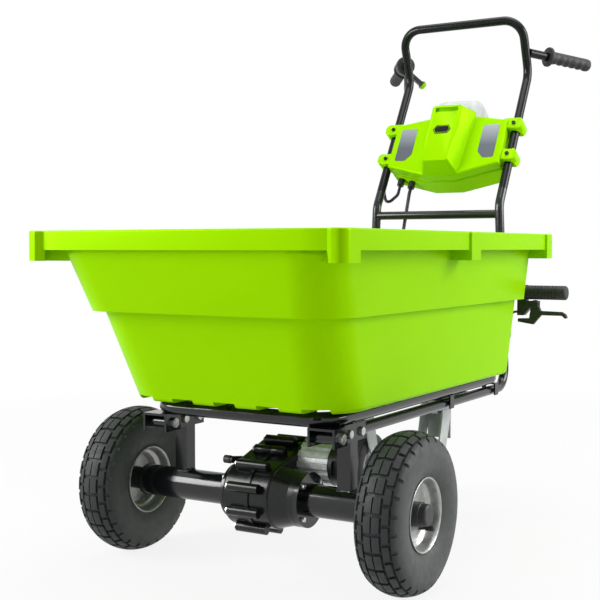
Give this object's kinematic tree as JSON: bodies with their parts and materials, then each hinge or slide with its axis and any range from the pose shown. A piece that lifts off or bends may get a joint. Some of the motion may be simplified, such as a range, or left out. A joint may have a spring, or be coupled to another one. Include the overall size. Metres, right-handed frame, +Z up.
{
  "type": "electric garden cart",
  "caption": "Walk-behind electric garden cart: a green stepped tub that tips forward on a tube frame, with a driven front axle, rear swivel casters and an upright handle with a control box.",
  "frame": {"origin": "on the ground under the middle of the cart's length and width", "axes": "+Z up, the cart's front looks along -Y, the handle is at +Y, and +X is the left of the operator behind the handle"},
  "size_m": [0.6371, 1.2963, 1.089],
  "materials": {
    "tyre_rubber": "matt",
    "rim_zinc": "satin zinc",
    "hub_black": "matt",
    "shaft_steel": "machined",
    "frame_black": "gloss powder coat",
    "gearbox_black": "semi-gloss cast",
    "bolt_zinc": "bright zinc",
    "motor_aluminium": "cast fins",
    "black_plastic": "satin",
    "green_plastic": "satin moulded",
    "clear_plastic": "clear",
    "caster_grey": "zinc",
    "caster_rubber": "matt",
    "grip_rubber": "matt",
    "cable_black": "satin"
  },
  "bodies": {
    "chassis": {"axle_tube_left": "frame_black", "axle_tube_right": "frame_black", "gearbox_case_left": "gearbox_black", "gearbox_case_right": "gearbox_black", "gearbox_bolts": "bolt_zinc", "motor_housing": "motor_aluminium", "motor_end_cap": "black_plastic", "cable_glands": "black_plastic", "motor_cable": "cable_black", "post_left": "frame_black", "post_right": "frame_black", "chassis_bolts": "bolt_zinc", "rail_left": "frame_black", "rail_right": "frame_black", "latch_striker": "frame_black", "caster_beam": "frame_black", "handle_loop": "frame_black", "handle_crossbar": "frame_black", "caster_plates": "bolt_zinc", "box_front": "green_plastic", "box_rear": "green_plastic", "box_screws": "bolt_zinc", "motor_controller": "black_plastic", "battery_pack": "black_plastic", "throttle_cable": "cable_black", "grip_left": "grip_rubber", "grip_right": "grip_rubber", "throttle_housing": "black_plastic"},
    "wheel_left": {"tyre_left": "tyre_rubber", "rim_left": "rim_zinc", "half_shaft_left": "shaft_steel", "hub_cap_left": "hub_black"},
    "wheel_right": {"tyre_right": "tyre_rubber", "rim_right": "rim_zinc", "half_shaft_right": "shaft_steel", "hub_cap_right": "hub_black"},
    "differential": {"ring_gear": "shaft_steel"},
    "idler": {"idler_gear": "shaft_steel"},
    "rotor": {"motor_rotor": "shaft_steel"},
    "caster_left": {"caster_fork_left": "caster_grey"},
    "caster_left_wheel": {"caster_hub_left": "caster_grey", "caster_tyre_left": "caster_rubber"},
    "caster_right": {"caster_fork_right": "caster_grey"},
    "caster_right_wheel": {"caster_hub_right": "caster_grey", "caster_tyre_right": "caster_rubber"},
    "tub": {"tub": "green_plastic", "tub_frame": "frame_black", "pivot_bolts": "bolt_zinc", "tub_bolts": "bolt_zinc", "dump_bar": "frame_black", "dump_grip": "grip_rubber", "lever_clamp": "black_plastic", "release_cable": "cable_black"},
    "release_lever": {"release_lever": "black_plastic"},
    "latch_hook": {"latch_hook": "frame_black"},
    "throttle_lever": {"throttle_lever": "green_plastic"},
    "battery_lid": {"battery_lid": "clear_plastic"},
    "freewheel_lever": {"freewheel_lever": "black_plastic"}
  },
  "joints": [
    {"name": "wheel_left_roll", "type": "hinge", "parent": "chassis", "child": "wheel_left", "pos_m": [0.277, -0.3901, 0.1325], "axis": [1, 0, 0], "continuous": true},
    {"name": "wheel_right_roll", "type": "hinge", "parent": "chassis", "child": "wheel_right", "pos_m": [-0.277, -0.3901, 0.1325], "axis": [1, 0, 0], "continuous": true},
    {"name": "rotor_spin", "type": "hinge", "parent": "chassis", "child": "rotor", "pos_m": [0.06, -0.31166, 0.18152], "axis": [1, 0, 0], "continuous": true},
    {"name": "idler_spin", "type": "hinge", "parent": "chassis", "child": "idler", "pos_m": [0.015, -0.34558, 0.16032], "axis": [1, 0, 0], "continuous": true},
    {"name": "differential_spin", "type": "hinge", "parent": "chassis", "child": "differential", "pos_m": [0.019, -0.3901, 0.1325], "axis": [1, 0, 0], "continuous": true},
    {"name": "caster_left_swivel", "type": "hinge", "parent": "chassis", "child": "caster_left", "pos_m": [0.092, 0.1329, 0.231], "axis": [0, 0, 1], "continuous": true},
    {"name": "caster_left_roll", "type": "hinge", "parent": "caster_left", "child": "caster_left_wheel", "pos_m": [0.092, 0.0879, 0.075], "axis": [1, 0, 0], "continuous": true},
    {"name": "caster_right_swivel", "type": "hinge", "parent": "chassis", "child": "caster_right", "pos_m": [-0.092, 0.1329, 0.231], "axis": [0, 0, 1], "continuous": true},
    {"name": "caster_right_roll", "type": "hinge", "parent": "caster_right", "child": "caster_right_wheel", "pos_m": [-0.092, 0.1779, 0.075], "axis": [1, 0, 0], "continuous": true},
    {"name": "tub_tip", "type": "hinge", "parent": "chassis", "child": "tub", "pos_m": [0, -0.4571, 0.254], "axis": [1, 0, 0], "range_deg": [0, 80]},
    {"name": "release_lever_pull", "type": "hinge", "parent": "tub", "child": "release_lever", "pos_m": [0.249, 0.2939, 0.438], "axis": [0, -1, 0], "range_deg": [0, 16], "stiffness_Nm_per_rad": 1.5},
    {"name": "latch_release", "type": "hinge", "parent": "tub", "child": "latch_hook", "pos_m": [0, 0.3039, 0.322], "axis": [-1, 0, 0], "range_deg": [0, 32]},
    {"name": "throttle_push", "type": "hinge", "parent": "chassis", "child": "throttle_lever", "pos_m": [-0.1797, 0.53939, 1.00212], "axis": [-0.5824, 0.8047, -0.1153], "range_deg": [0, 40], "stiffness_Nm_per_rad": 0.4},
    {"name": "battery_lid_open", "type": "hinge", "parent": "chassis", "child": "battery_lid", "pos_m": [0, 0.50475, 0.8203], "axis": [-1, 0, 0], "range_deg": [0, 100]},
    {"name": "freewheel_shift", "type": "hinge", "parent": "chassis", "child": "freewheel_lever", "pos_m": [-0.0535, -0.3521, 0.1815], "axis": [-1, 0, 0], "range_deg": [0, 40]}
  ],
  "couplings": [
    {"joint": "idler_spin", "follows": "rotor_spin", "ratio": -0.33333},
    {"joint": "differential_spin", "follows": "rotor_spin", "ratio": 0.078431},
    {"joint": "latch_release", "follows": "release_lever_pull", "ratio": 2}
  ]
}
